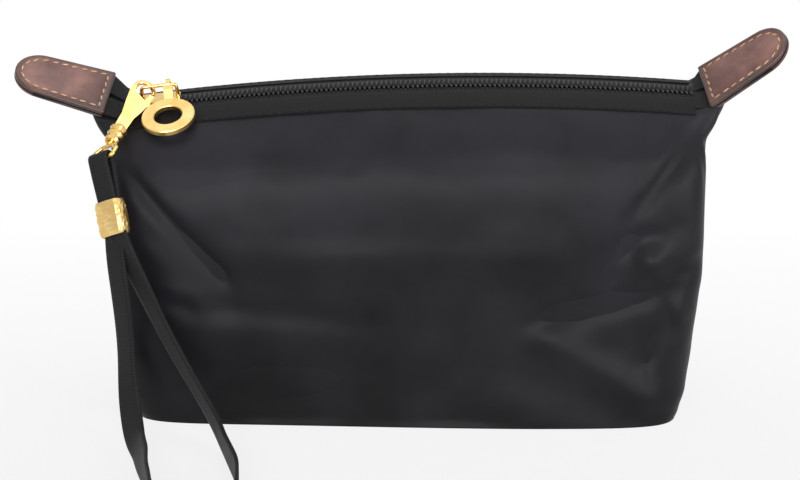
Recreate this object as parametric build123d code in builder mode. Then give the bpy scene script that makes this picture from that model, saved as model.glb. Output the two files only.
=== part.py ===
from build123d import *
import os
from math import asin, atan2, cos, degrees, pi, radians, sin, tan

os.makedirs("parts", exist_ok=True)

# A soft zipped pouch. +X runs along the zip, +Y to the back, +Z up, and the origin is on
# the surface that the pouch stands on, under its middle. Millimetres and degrees.

# --- pouch ---
base_half_length = 88.0
top_half_length = 97.5
zip_height = 107.5
middle_half_depth = 33.5
base_half_depth = 28.5
panel_wall = 1.0
lining_gap = 0.35
lining_wall = 0.6
lining_below_tape = 2.6
rim_gap = 0.12
back_lift = 4.0
base_seam_back = 14.0
base_trim = 0.5
# down each side from the zip: share of middle_half_depth, and how far under the zip
upper_profile = [(0.60, 10.5), (0.785, 18.5), (0.895, 30.0)]
# then share of middle_half_depth, and share of the zip's height
lower_profile = [(0.97, 0.48), (1.0, 0.24), (0.965, 0.07)]

# --- zip ---
zip_arch_radius = 850.0
zip_arch_x = 25.0
zip_tilt = 11.0
tape_fold = 13.0
tape_wall = 0.5
tape_inner = 1.0
tape_flat = 4.8
tape_outer = 9.4
tape_left_x = -top_half_length + 7.0
tape_right_x = top_half_length - 4.0
coil_inner = 0.95
coil_outer = 2.85
coil_height = 1.3
band_inner = 8.4
band_outer = 13.2
band_wall = 0.6

# --- leather tabs on the zip's ends ---
left_tab_place = (-top_half_length - 1.5, 1.0, zip_height - 3.5)
left_tab_rise = 16.0
left_tab_swing = 0.0
left_tab_roll = 29.0
right_tab_place = (top_half_length + 0.1, 0.0, zip_height - 1.2)
right_tab_rise = 36.0
right_tab_swing = 14.0
right_tab_roll = 26.0
tab_length = 32.0
tab_width = 20.0
tab_tip_width = 17.8
tab_tip_length = 9.5
leather_wall = 1.3
leather_edge = 0.35
tape_in_tab = 24.0
tape_pressed = 0.03
stitch_inset = 2.2
stitch_pitch = 3.2
stitch_length = 2.3
stitch_width = 0.55
stitch_height = 0.3
ear_length = 8.0
ear_half_width = 8.0
ear_foot_half_width = 4.0
left_ear_foot_z = 79.0
right_ear_foot_z = 87.0

# --- zip slider ---
slider_x = -top_half_length + 15.7
slider_length = 13.0
slider_half_width = 3.9
slider_plate = 0.8
slider_clearance = 0.25
slider_corner = 1.6
neck_half_width = 0.7
neck_length = 2.6
flange_wall = 0.8
bridge_clear = 3.8
bridge_wire = 1.2
bridge_half_length = 5.8
bridge_bend = 1.2

# --- ring pull ---
ring_diameter = 17.7
ring_hole = 9.3
ring_thickness = 2.0
ring_edge = 0.3
ring_reach = 14.0
ring_drop = 2.6
ring_x_offset = 3.3
ring_eye_wall = 0.85
ring_eye_thickness = 1.3
ring_eye_play = 0.4
lug_width = 3.0

# --- swivel clasp ---
clasp_x_offset = -4.3
clasp_back = 0.6
clasp_under_bridge = 0.5
hook_turn = -60.0
clasp_drop = 28.7
clasp_heading = 24.3
hook_wire = 1.5
hook_radius = 3.25
hook_centre = 1.5
clasp_body_half = 1.5
clasp_slot_half = 0.8
trigger_half = 0.7
trigger_pivot_x = 2.3
trigger_pivot_y = 8.8
pin_diameter = 1.0
pin_play = 0.02
trigger_play = 0.05
spring_radius = 0.5
spring_wire = 0.27
spring_wire_sides = 8
spring_turns = 5
collar_start = 20.0
collar_end = 27.0
post_radius = 1.0
post_play = 0.12
head_radius = 1.6
head_height = 0.9
head_play = 0.2
eye_wire = 1.5
eye_half_width = 5.4
eye_length = 6.2
eye_lead = 0.4
eye_shoulder = 0.45
eye_bend = 1.1
post_length = 1.4
clasp_length = collar_end + post_length + eye_length

# --- wrist strap ---
strap_drop = 64.9
strap_heading = 28.2
strap_width = 8.5
strap_wall = 1.2
strap_tube = 3.4
strap_leg_offset = 2.1
leg_straight = 4.6
crimp_start = 14.0
crimp_length = 11.4
crimp_width = 10.3
crimp_height = 5.4
crimp_wall = 0.8
crimp_corner = 1.6
fold_tail = 19.5
floor_gap = 0.1


# --- frames along the arched zip ---
across = Vector(0, cos(radians(zip_tilt)), sin(radians(zip_tilt)))
arch_up = Vector(0, -sin(radians(zip_tilt)), cos(radians(zip_tilt)))
arch_centre = Vector(zip_arch_x, 0, zip_height) - arch_up * zip_arch_radius
zip_axis = Axis(arch_centre, across)


def arch_angle(x):
    return asin((x - zip_arch_x) / zip_arch_radius)


def chain_section(x):
    # the zip's cross-section over x: local x to the back, local y out of the chain
    angle = arch_angle(x)
    outward = Vector(sin(angle), 0, 0) + arch_up * cos(angle)
    along = Vector(cos(angle), 0, 0) - arch_up * sin(angle)
    return Plane(origin=arch_centre + outward * zip_arch_radius, x_dir=across, z_dir=along)


def strip_height(w):
    # the tape is flat by the chain and folds down on either side of it
    return -max(0.0, abs(w) - tape_flat) * tan(radians(tape_fold))


def strip_outline(inner, outer, low, high, side):
    widths = [inner, tape_flat, outer] if inner < tape_flat else [inner, outer]
    lower = [(side * w, strip_height(w) + low) for w in widths]
    upper = [(side * w, strip_height(w) + high) for w in reversed(widths)]
    return lower + upper


def tab_frame(place, rise, swing, roll, side):
    # local x out along the tab, local z up out of the leather
    rise, swing, roll = radians(rise), radians(swing), radians(roll)
    out = Vector(side * cos(rise) * cos(swing), -cos(rise) * sin(swing), sin(rise))
    level = Vector(0, -1, 0)
    level = (level - out * level.dot(out)).normalized()
    up = out.cross(level) * -side
    return Plane(origin=place, x_dir=out, z_dir=up * cos(roll) + level * sin(roll))


left_tab = tab_frame(left_tab_place, left_tab_rise, left_tab_swing, left_tab_roll, -1)
right_tab = tab_frame(right_tab_place, right_tab_rise, right_tab_swing, right_tab_roll, 1)
tabs = {"left": left_tab, "right": right_tab}
tab_sign = {"left": -1, "right": 1}

# --- pouch body ---
body_stations = [-1.0, -0.96, -0.88, -0.7, -0.35, 0.0, 0.35, 0.7, 0.88, 0.96, 1.0]
rim_share = {1.0: 0.76, 0.96: 0.97}
side_share = {1.0: 0.60, 0.96: 0.86, 0.88: 0.97}
base_share = {1.0: 0.80, 0.96: 0.92, 0.88: 0.98}


def side_points(station, side):
    # one side of the pouch's profile at a station, from the zip down to the base
    top_x = station * top_half_length
    chain = chain_section(top_x)
    rim_w = band_outer * rim_share.get(abs(station), 1.0) * side
    rim = chain.from_local_coords(Vector(rim_w, strip_height(rim_w) - rim_gap))
    height = chain.origin.Z
    full = side_share.get(abs(station), 1.0)
    foot = base_share.get(abs(station), 1.0)
    lift = back_lift if side > 0 else 0.0
    shape = [(middle_half_depth * share, height - under + lift) for share, under in upper_profile]
    shape += [(middle_half_depth * share, height * up) for share, up in lower_profile]
    shape.append((base_half_depth, -base_trim))
    points = [(rim.Y, rim.Z)]
    for i, (y, z) in enumerate(shape):
        share = full + (foot - full) * i / (len(shape) - 1)
        points.append((side * y * share, z))
    return points


def inset_points(points, side, inset):
    # each point moved into the pouch, square to the side, and the last one up from the base
    moved = []
    for i, (y, z) in enumerate(points):
        before = points[max(i - 1, 0)]
        after = points[min(i + 1, len(points) - 1)]
        run = Vector(after[0] - before[0], after[1] - before[1]).normalized()
        moved.append((y + side * run.Y * inset, z - side * run.X * inset))
    moved[-1] = (points[-1][0] - side * 0.6 * inset, inset)
    return moved


def body_section(station, inset, open_top):
    # a leaning section of the pouch; open_top lifts the top line clear of the zip
    top_x = station * top_half_length
    lean = Vector(top_x - station * base_half_length, 0, chain_section(top_x).origin.Z)
    shrink = (top_half_length - inset) / top_half_length
    plane = Plane(
        origin=(station * base_half_length * shrink, 0, 0),
        x_dir=(0, 1, 0),
        z_dir=Vector(0, 1, 0).cross(lean),
    )
    stretch = lean.length / lean.Z
    sides = {}
    for side in (-1, 1):
        points = side_points(station, side)
        if inset:
            points = inset_points(points, side, inset)
        sides[side] = [(y, z * stretch) for y, z in points]
    front, back = sides[-1], sides[1]
    with BuildSketch(plane) as section:
        with BuildLine():
            Spline(*front)
            Line(front[-1], back[-1])
            Spline(*back[::-1])
            if open_top:
                front_top = (front[0][0], front[0][1] + open_top)
                back_top = (back[0][0], back[0][1] + open_top)
                Polyline(back[0], back_top, front_top, front[0])
            else:
                Line(back[0], front[0])
        make_face()
    return section.sketch


def body_loft(inset, open_top):
    with BuildPart() as body:
        for station in body_stations:
            add(body_section(station, inset, open_top))
        loft()
    return body.part


outer_body = body_loft(0.0, 0.0)
room_in_panels = body_loft(panel_wall, 8.0)
lining_outside = body_loft(panel_wall + lining_gap, 8.0)
lining_inside = body_loft(panel_wall + lining_gap + lining_wall, 9.0)
print("lofts", [round(b.volume) for b in (outer_body, room_in_panels, lining_outside, lining_inside)])


def wedge(tab, foot_x, foot_z):
    # the gathered cloth that rises from the pouch's side to the underside of a tab
    reach = ear_length + 3.0
    with BuildPart() as ear:
        with BuildSketch(tab.offset(-leather_wall - tape_wall / 2 - stitch_height - 0.1)):
            with Locations((ear_length - reach / 2, 0)):
                Rectangle(reach, 2 * ear_half_width)
        with BuildSketch(Plane.XY.offset(foot_z)):
            with Locations((foot_x, 0)):
                Rectangle(2.0, 2 * ear_foot_half_width)
        loft(ruled=True)
    return ear.part


def foot_x(z):
    return base_half_length + (top_half_length - base_half_length) * z / zip_height - 0.6


with BuildPart() as pouch_shell:
    add(outer_body)
    add(wedge(left_tab, -foot_x(left_ear_foot_z), left_ear_foot_z))
    add(wedge(right_tab, foot_x(right_ear_foot_z), right_ear_foot_z))
    add(room_in_panels, mode=Mode.SUBTRACT)
    split(bisect_by=Plane.XY, keep=Keep.TOP)

# the front panel runs on under the pouch, so the base's seam is behind its middle
seam_plane = Plane(
    origin=(0, base_seam_back, 0),
    x_dir=(1, 0, 0),
    z_dir=(0, -zip_height, -base_seam_back),
)

with BuildPart() as front_panel:
    add(pouch_shell.part)
    split(bisect_by=seam_plane, keep=Keep.TOP)
front_panel.part.label = "front_panel"
export_step(front_panel.part, "parts/front_panel.step")

with BuildPart() as back_panel:
    add(pouch_shell.part)
    split(bisect_by=seam_plane, keep=Keep.BOTTOM)
back_panel.part.label = "back_panel"
export_step(back_panel.part, "parts/back_panel.step")

with BuildPart() as lining:
    add(lining_outside)
    add(lining_inside, mode=Mode.SUBTRACT)
    with BuildSketch(chain_section(-top_half_length - 5)):
        with Locations((0, 20 - lining_below_tape)):
            Rectangle(80, 40)
    revolve(
        axis=zip_axis,
        revolution_arc=degrees(arch_angle(top_half_length + 5) - arch_angle(-top_half_length - 5)),
        mode=Mode.SUBTRACT,
    )
lining.part.label = "lining"
export_step(lining.part, "parts/lining.step")

# --- zip tapes, coils and facing bands ---
strip_arc = degrees(arch_angle(tape_right_x) - arch_angle(tape_left_x))


def tab_section(tab, sign, x):
    # a section across a tab, x out from its inner end: local x to the back, local y up
    return Plane(origin=tab.from_local_coords(Vector(x, 0, 0)), x_dir=tab.y_dir * sign,
                 z_dir=tab.x_dir * sign)


def flat_outline(inner, outer, half, side):
    # pressed a little thinner between the leathers where the tape's fold ran
    waist = half - tape_pressed
    edge = [(inner, half), (tape_flat, waist), (outer, half)]
    return [(side * w, -n) for w, n in edge] + [(side * w, n) for w, n in reversed(edge)]


def zip_tape(side):
    half = tape_wall / 2
    with BuildPart() as tape:
        with BuildSketch(chain_section(tape_left_x)):
            with BuildLine():
                Polyline(*strip_outline(tape_inner, tape_outer, -tape_wall, 0, side), close=True)
            make_face()
        revolve(axis=zip_axis, revolution_arc=strip_arc)
        for name, end_x in (("left", tape_left_x), ("right", tape_right_x)):
            tab, sign = tabs[name], tab_sign[name]
            with BuildSketch(chain_section(end_x)):
                with BuildLine():
                    Polyline(*strip_outline(tape_inner, tape_outer, -tape_wall, 0, side), close=True)
                make_face()
            with BuildSketch(tab_section(tab, sign, 0)):
                with BuildLine():
                    Polyline(*flat_outline(tape_inner, tape_outer, half, side), close=True)
                make_face()
            loft(ruled=True)
            with BuildSketch(tab_section(tab, sign, 0)):
                with BuildLine():
                    Polyline(*flat_outline(tape_inner, tape_outer, half, side), close=True)
                make_face()
            extrude(amount=sign * tape_in_tab)
    return tape.part


with BuildPart() as front_tape:
    add(zip_tape(-1))
front_tape.part.label = "front_tape"
export_step(front_tape.part, "parts/front_tape.step")

with BuildPart() as back_tape:
    add(zip_tape(1))
back_tape.part.label = "back_tape"
export_step(back_tape.part, "parts/back_tape.step")

for name, side in (("front", -1), ("back", 1)):
    with BuildPart() as coil:
        with BuildSketch(chain_section(tape_left_x)):
            with Locations((side * (coil_inner + coil_outer) / 2, coil_height / 2)):
                RectangleRounded(coil_outer - coil_inner, coil_height, 0.4)
        revolve(axis=zip_axis, revolution_arc=strip_arc)
    coil.part.label = name + "_coil"
    export_step(coil.part, "parts/" + name + "_coil.step")

for name, side in (("front", -1), ("back", 1)):
    with BuildPart() as band:
        with BuildSketch(chain_section(tape_left_x)):
            with BuildLine():
                Polyline(*strip_outline(band_inner, band_outer, 0, band_wall, side), close=True)
            make_face()
        revolve(axis=zip_axis, revolution_arc=strip_arc)
    band.part.label = name + "_band"
    export_step(band.part, "parts/" + name + "_band.step")


# --- leather tabs and their thread ---
def tab_face(inset):
    # the tab's outline, square at the inner end and round at the tip
    half = tab_width / 2 - inset
    tip = tab_length - inset
    shoulder = tip - tab_tip_length + inset / 2
    with BuildLine() as outline:
        Polyline((shoulder, tab_tip_width / 2 - inset), (inset, half), (inset, -half),
                 (shoulder, -tab_tip_width / 2 + inset))
        ThreePointArc((shoulder, -tab_tip_width / 2 + inset), (tip, 0),
                      (shoulder, tab_tip_width / 2 - inset))
    return outline.wire()


for name, tab in tabs.items():
    for layer, direction in (("top", 1), ("underside", -1)):
        with BuildPart() as leather:
            with BuildSketch(tab.offset(direction * tape_wall / 2)):
                make_face(tab_face(0).edges())
            extrude(amount=direction * leather_wall)
            outer_rim = leather.faces().sort_by(Axis(tab.origin, tab.z_dir * direction))[-1]
            fillet(outer_rim.edges(), leather_edge)
        leather.part.label = name + "_tab_" + layer
        export_step(leather.part, "parts/" + name + "_tab_" + layer + ".step")

    seam = tab_face(stitch_inset)
    stitch_count = round(seam.length / stitch_pitch)
    with BuildPart() as stitches:
        for direction in (1, -1):
            face = tab.offset(direction * (tape_wall / 2 + leather_wall))
            with BuildSketch(face):
                for i in range(stitch_count):
                    at = seam.position_at((i + 0.5) / stitch_count)
                    run = seam.tangent_at((i + 0.5) / stitch_count)
                    with Locations(Location((at.X, at.Y, 0), (0, 0, degrees(atan2(run.Y, run.X))))):
                        Rectangle(stitch_length, stitch_width)
            extrude(amount=direction * stitch_height)
    stitches.part.label = name + "_tab_stitches"
    export_step(stitches.part, "parts/" + name + "_tab_stitches.step")

# --- zip slider ---
slider_section = chain_section(slider_x)
slider_flat = Plane(origin=slider_section.origin, x_dir=slider_section.z_dir,
                    z_dir=slider_section.y_dir)
plate_top_low = coil_height + slider_clearance
plate_top_high = plate_top_low + slider_plate
plate_bottom_high = -tape_wall - slider_clearance
plate_bottom_low = plate_bottom_high - slider_plate
bridge_height = plate_top_high + bridge_clear + bridge_wire / 2

with BuildPart() as slider_body:
    for low in (plate_bottom_low, plate_top_low):
        with BuildSketch(slider_flat.offset(low)):
            RectangleRounded(slider_length, 2 * slider_half_width, slider_corner)
        extrude(amount=slider_plate)
    with BuildSketch(slider_flat.offset(slider_clearance)):
        for side in (-1, 1):
            with Locations((0, side * (slider_half_width - flange_wall / 2))):
                Rectangle(slider_length - 2 * slider_corner, flange_wall)
    extrude(amount=plate_top_low - slider_clearance)
    with BuildSketch(slider_flat.offset(plate_bottom_high)):
        with Locations(((neck_length - slider_length) / 2 + 0.3, 0)):
            Rectangle(neck_length, 2 * neck_half_width)
    extrude(amount=plate_top_low - plate_bottom_high)
    bridge_plane = Plane(origin=slider_section.origin, x_dir=slider_section.z_dir,
                         z_dir=-slider_section.x_dir)
    with BuildLine(bridge_plane) as bridge_path:
        FilletPolyline(
            (-bridge_half_length, plate_top_high - 0.2),
            (-bridge_half_length, bridge_height),
            (bridge_half_length, bridge_height),
            (bridge_half_length, plate_top_high - 0.2),
            radius=bridge_bend,
        )
    with BuildSketch(Plane(origin=bridge_path.wire() @ 0, z_dir=bridge_path.wire() % 0)):
        Circle(bridge_wire / 2)
    sweep(path=bridge_path.wire())
slider_body.part.label = "slider_body"
export_step(slider_body.part, "parts/slider_body.step")

bridge_axis_point = slider_flat.from_local_coords(Vector(0, 0, bridge_height))
print("slider hinge", arch_centre, across)
print("bridge bar", bridge_axis_point, slider_section.z_dir)

# --- ring pull: a flat ring with a lug that ends in an eye round the bridge ---
eye_centre = slider_flat.from_local_coords(Vector(ring_x_offset, 0, bridge_height))
ring_slope = radians(tape_fold)
ring_out = -(slider_section.x_dir * cos(ring_slope) + slider_section.y_dir * sin(ring_slope))
ring_up = slider_section.y_dir * cos(ring_slope) - slider_section.x_dir * sin(ring_slope)
lug_plane = Plane(origin=eye_centre, x_dir=ring_out, z_dir=ring_out.cross(ring_up))
ring_plane = Plane(origin=eye_centre + ring_out * ring_reach - ring_up * ring_drop,
                   x_dir=slider_section.z_dir, z_dir=ring_up)
eye_hole = bridge_wire / 2 + ring_eye_play
ring_near = ring_reach - ring_diameter / 2

with BuildPart() as pull_ring:
    with BuildSketch(ring_plane.offset(-ring_thickness / 2)):
        Circle(ring_diameter / 2)
        Circle(ring_hole / 2, mode=Mode.SUBTRACT)
    extrude(amount=ring_thickness)
    chamfer(pull_ring.edges().filter_by(GeomType.CIRCLE), ring_edge)
    with BuildSketch(lug_plane):
        Circle(eye_hole + ring_eye_wall)
    extrude(amount=ring_eye_thickness / 2, both=True)
    with BuildSketch(lug_plane):
        with BuildLine():
            Polyline(
                (1.2, 0.8),
                (3.0, 0.3),
                (ring_near + 0.3, -ring_drop + ring_thickness / 2 - 0.1),
                (ring_near + 1.4, -ring_drop + ring_thickness / 2 - 0.1),
                (ring_near + 1.4, -ring_drop - ring_thickness / 2 + 0.1),
                (ring_near + 0.1, -ring_drop - ring_thickness / 2 + 0.4),
                (ring_near - 0.2, -2.2),
                (3.6, -1.3),
                (1.2, -0.9),
                close=True,
            )
        make_face()
    extrude(amount=lug_width / 2, both=True)
    with BuildSketch(lug_plane):
        Circle(eye_hole)
    extrude(amount=lug_width, both=True, mode=Mode.SUBTRACT)
pull_ring.part.label = "pull_ring"
export_step(pull_ring.part, "parts/pull_ring.step")


# --- swivel clasp ---
def falling(drop, heading, side):
    # a direction that falls by drop and heads forward, turned to one side by heading
    level = cos(radians(drop))
    turn = radians(heading) * side
    return Vector(level * sin(turn), -level * cos(turn), -sin(radians(drop)))


clasp_out = falling(clasp_drop, clasp_heading, -1)
strap_down = falling(strap_drop, strap_heading, 1)
clasp_right = clasp_out.cross(strap_down).normalized()
clasp_normal = clasp_out.cross(clasp_right)
clasp_origin = slider_flat.from_local_coords(
    Vector(clasp_x_offset, clasp_back, bridge_height - clasp_under_bridge))
# the eye's plane: local x to the strap's right, local y back up to the hook, local z out
eye_flat = Plane(origin=clasp_origin, x_dir=clasp_right, z_dir=clasp_normal)
# the hook is turned on its swivel: the same axes for it and its trigger
hook_right = clasp_right.rotate(Axis((0, 0, 0), clasp_out), hook_turn)
hook_normal = clasp_out.cross(hook_right)
clasp_flat = Plane(origin=clasp_origin, x_dir=hook_right, z_dir=hook_normal)
# sections along the clasp: local x to its right, local y through its thickness
clasp_side = Plane(origin=clasp_origin, x_dir=clasp_right, z_dir=-clasp_out)
neck_end = -collar_end
hook_low = -hook_centre - hook_radius
pivot = (trigger_pivot_x, -trigger_pivot_y)

with BuildPart() as clasp_hook:
    with BuildLine(clasp_flat) as hook_path:
        CenterArc((0, -hook_centre), hook_radius, -4, 202)
    with BuildSketch(Plane(origin=hook_path.wire() @ 0, z_dir=hook_path.wire() % 0)):
        Circle(hook_wire / 2)
    sweep(path=hook_path.wire())
    with BuildSketch(clasp_flat):
        with BuildLine():
            Polyline(
                (-hook_radius - 0.7, -hook_centre - 0.6),
                (-hook_radius - 0.8, hook_low),
                (-3.3, -9.5),
                (-2.2, -15.0),
                (-2.0, -collar_start - 0.5),
                (2.0, -collar_start - 0.5),
                (2.2, -15.0),
                (3.2, -10.8),
                (3.5, -8.4),
                (2.2, -6.2),
                (0.0, hook_low - 0.5),
                (-1.8, hook_low + 0.5),
                (-2.6, -hook_centre - 1.8),
                (-2.6, -hook_centre - 0.6),
                close=True,
            )
        make_face()
    extrude(amount=clasp_body_half, both=True)
    with BuildSketch(clasp_flat):
        with BuildLine():
            Polyline((-1.3, hook_low + 2), (-1.3, -11.2), (6, -11.2), (6, hook_low + 2), close=True)
        make_face()
    extrude(amount=clasp_slot_half, both=True, mode=Mode.SUBTRACT)
    with BuildSketch(clasp_flat):
        with Locations(pivot):
            Circle(pin_diameter / 2 + pin_play)
    extrude(amount=clasp_body_half * 2, both=True, mode=Mode.SUBTRACT)
    with BuildSketch(clasp_flat):
        with BuildLine():
            Polyline(
                (0, -collar_start),
                (2.2, -collar_start),
                (3.0, -collar_start - 1.2),
                (2.3, -collar_start - 2.4),
                (2.9, -collar_start - 3.6),
                (2.3, -collar_start - 4.8),
                (2.6, -collar_start - 6.0),
                (2.2, neck_end),
                (0, neck_end),
                close=True,
            )
        make_face()
    revolve(axis=Axis(clasp_origin, clasp_out))
    with BuildSketch(clasp_side.offset(neck_end)):
        Circle(post_radius + post_play)
    extrude(amount=3.0, mode=Mode.SUBTRACT)
    with BuildSketch(clasp_side.offset(neck_end + 2.4)):
        Circle(head_radius + head_play)
    extrude(amount=head_height + 2 * head_play, mode=Mode.SUBTRACT)
clasp_hook.part.label = "clasp_hook"
export_step(clasp_hook.part, "parts/clasp_hook.step")

with BuildPart() as clasp_trigger:
    with BuildSketch(clasp_flat):
        with BuildLine():
            Polyline(
                (pivot[0] - 1.1, pivot[1] - 0.6),
                (1.9, -6.0),
                (2.5, -hook_centre - 0.75),
                (4.0, -hook_centre - 0.75),
                (3.9, -4.6),
                (3.9, -6.2),
                (pivot[0] + 1.1, pivot[1] - 0.4),
                close=True,
            )
        make_face()
        with Locations(pivot):
            Circle(1.25)
        with Locations((3.9, -6.6)):
            Circle(0.8)
        with Locations(pivot):
            Circle(pin_diameter / 2 + trigger_play, mode=Mode.SUBTRACT)
    extrude(amount=trigger_half, both=True)
clasp_trigger.part.label = "clasp_trigger"
export_step(clasp_trigger.part, "parts/clasp_trigger.step")

with BuildPart() as trigger_pin:
    with BuildSketch(clasp_flat):
        with Locations(pivot):
            Circle(pin_diameter / 2)
    extrude(amount=clasp_body_half + 0.1, both=True)
trigger_pin.part.label = "trigger_pin"
export_step(trigger_pin.part, "parts/trigger_pin.step")

spring_start = (-1.3 + spring_wire / 2 + 0.1, -7.6)
spring_length = 2.4
spring_foot = clasp_flat.from_local_coords(Vector(*spring_start, 0))
with BuildPart() as trigger_spring:
    with BuildLine() as spring_path:
        Helix(pitch=spring_length / spring_turns, height=spring_length, radius=spring_radius,
              center=spring_foot, direction=hook_right)
    with BuildSketch(Plane(origin=spring_path.wire() @ 0, z_dir=spring_path.wire() % 0)):
        RegularPolygon(spring_wire / 2, spring_wire_sides)
    sweep(path=spring_path.wire(), is_frenet=True)
trigger_spring.part.label = "trigger_spring"
export_step(trigger_spring.part, "parts/trigger_spring.step")

eye_top = neck_end - post_length
eye_bottom = -clasp_length
with BuildPart() as swivel_eye:
    with BuildSketch(clasp_side.offset(neck_end + 2.4 + head_play)):
        Circle(head_radius)
    extrude(amount=head_height)
    with BuildSketch(clasp_side.offset(eye_top)):
        Circle(post_radius)
    extrude(amount=neck_end + 2.4 + head_play - eye_top)
    with BuildLine(eye_flat) as eye_path:
        FilletPolyline(
            (eye_half_width * 0.5, eye_top - eye_lead),
            (eye_half_width, eye_top - eye_shoulder * eye_length),
            (eye_half_width, eye_bottom),
            (-eye_half_width, eye_bottom),
            (-eye_half_width, eye_top - eye_shoulder * eye_length),
            (-eye_half_width * 0.5, eye_top - eye_lead),
            radius=eye_bend,
            close=True,
        )
    with BuildSketch(Plane(origin=eye_path.wire() @ 0, z_dir=eye_path.wire() % 0)):
        Circle(eye_wire / 2)
    sweep(path=eye_path.wire())
swivel_eye.part.label = "swivel_eye"
export_step(swivel_eye.part, "parts/swivel_eye.step")

# --- wrist strap: folded over the eye, both ends of its loop held in the crimp ---
eye_bar = eye_flat.from_local_coords(Vector(0, eye_bottom, 0))
# local x through the strap's thickness, local y down the strap, local z across its width
fold_plane = Plane(origin=eye_bar, x_dir=strap_down.cross(clasp_right), z_dir=clasp_right)
# sections across the strap, z down the strap: local x across its width
crimp_plane = Plane(origin=eye_bar, x_dir=clasp_right, z_dir=strap_down)
around = eye_wire / 2 + 0.12
fold_half = strap_wall

with BuildPart() as strap_fold:
    with BuildSketch(fold_plane):
        with BuildLine():
            Polyline((fold_half, fold_tail), (fold_half, crimp_start - 1.5), (around + strap_wall, 0.3))
            ThreePointArc((around + strap_wall, 0.3), (0, -around - strap_wall),
                          (-around - strap_wall, 0.3))
            Polyline((-around - strap_wall, 0.3), (-fold_half, crimp_start - 1.5),
                     (-fold_half, fold_tail), (fold_half, fold_tail))
        make_face()
        with BuildLine():
            Polyline((around, 0.3), (0, 8.0), (-around, 0.3))
            ThreePointArc((-around, 0.3), (0, -around), (around, 0.3))
        make_face(mode=Mode.SUBTRACT)
    extrude(amount=strap_width / 2, both=True)
strap_fold.part.label = "strap_fold"
export_step(strap_fold.part, "parts/strap_fold.step")

with BuildPart() as crimp:
    with BuildSketch(crimp_plane.offset(crimp_start)):
        RectangleRounded(crimp_width, crimp_height, crimp_corner)
        RectangleRounded(crimp_width - 2 * crimp_wall, crimp_height - 2 * crimp_wall,
                         crimp_corner - crimp_wall, mode=Mode.SUBTRACT)
    extrude(amount=crimp_length)
crimp.part.label = "crimp"
export_step(crimp.part, "parts/crimp.step")

# the loop's route: down the left leg, out over the floor, round and back up the right leg
floor_z = strap_tube / 2 + floor_gap
leg_out = crimp_start + crimp_length + leg_straight


def leg_point(side, along):
    return tuple(crimp_plane.from_local_coords(Vector(side * strap_leg_offset, 0, along)))


loop_points = [
    leg_point(-1, fold_tail),
    leg_point(-1, leg_out),
    (-92.9, -39.7, 47.5),
    (-91.8, -40.1, 33.5),
    (-91.4, -42.0, 21.0),
    (-90.3, -46.2, 10.0),
    (-88.3, -54.5, floor_z),
    (-85.5, -65.5, floor_z),
    (-83.3, -79.0, floor_z),
    (-80.9, -91.5, floor_z),
    (-79.4, -102.3, floor_z),
    (-74.3, -109.9, floor_z),
    (-65.9, -112.6, floor_z),
    (-57.6, -109.4, floor_z),
    (-52.9, -101.9, floor_z),
    (-53.2, -92.0, floor_z),
    (-53.9, -82.0, floor_z),
    (-55.9, -73.0, floor_z),
    (-59.1, -60.0, floor_z),
    (-62.4, -50.6, 7.2),
    (-67.5, -45.4, 15.0),
    (-74.0, -42.2, 26.0),
    (-81.0, -40.4, 39.5),
    (-86.4, -40.2, 52.0),
    leg_point(1, leg_out),
    leg_point(1, fold_tail),
]


def bend_radii(points):
    radii = []
    for before, at, after in zip(points, points[1:], points[2:]):
        first = Vector(*at) - Vector(*before)
        second = Vector(*after) - Vector(*at)
        turn = radians(first.get_angle(second))
        radii.append(0.45 * min(first.length, second.length) / tan(turn / 2))
    return radii


loop_radii = bend_radii(loop_points)
print("strap loop radii", [round(r, 1) for r in loop_radii])

with BuildPart() as strap:
    with BuildLine() as strap_path:
        FilletPolyline(*loop_points, radius=loop_radii)
    with BuildSketch(Plane(origin=strap_path.wire() @ 0, z_dir=strap_path.wire() % 0)):
        Circle(strap_tube / 2)
    sweep(path=strap_path.wire())
strap.part.label = "strap"
export_step(strap.part, "parts/strap.step")
strap_section = pi * (strap_tube / 2) ** 2
print("strap loop length", strap_path.wire().length, "volume ratio",
      strap.part.volume / (strap_section * strap_path.wire().length))
print("clasp", clasp_origin, clasp_out, hook_right, hook_normal)
print("eye bar", eye_bar, "trigger pivot", clasp_flat.from_local_coords(Vector(*pivot, 0)))
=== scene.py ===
import bpy
import bmesh
from math import asin, atan2, cos, exp, pi, radians, sin, sqrt, tan
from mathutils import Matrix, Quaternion, Vector, noise


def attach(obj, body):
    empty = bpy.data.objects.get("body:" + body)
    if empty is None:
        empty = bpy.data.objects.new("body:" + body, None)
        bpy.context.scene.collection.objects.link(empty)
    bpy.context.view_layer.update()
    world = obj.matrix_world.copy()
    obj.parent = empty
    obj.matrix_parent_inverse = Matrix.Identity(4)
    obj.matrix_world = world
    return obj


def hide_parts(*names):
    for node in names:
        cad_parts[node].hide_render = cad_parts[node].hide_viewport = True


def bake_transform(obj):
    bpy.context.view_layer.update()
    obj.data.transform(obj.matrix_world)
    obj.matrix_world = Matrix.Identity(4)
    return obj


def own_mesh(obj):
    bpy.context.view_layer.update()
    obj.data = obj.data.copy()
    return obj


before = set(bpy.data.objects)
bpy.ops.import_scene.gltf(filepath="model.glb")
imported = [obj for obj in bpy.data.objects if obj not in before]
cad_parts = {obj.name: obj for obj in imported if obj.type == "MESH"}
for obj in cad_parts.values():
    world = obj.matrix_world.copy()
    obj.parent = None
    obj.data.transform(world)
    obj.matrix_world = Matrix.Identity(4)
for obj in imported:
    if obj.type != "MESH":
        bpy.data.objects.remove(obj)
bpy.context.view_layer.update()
mm = 0.001

camSet = {"target": (-3.08, 0.0, 54.3), "elevation": 17.0, "distance": 900.0, "lens": 120.8}


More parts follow.
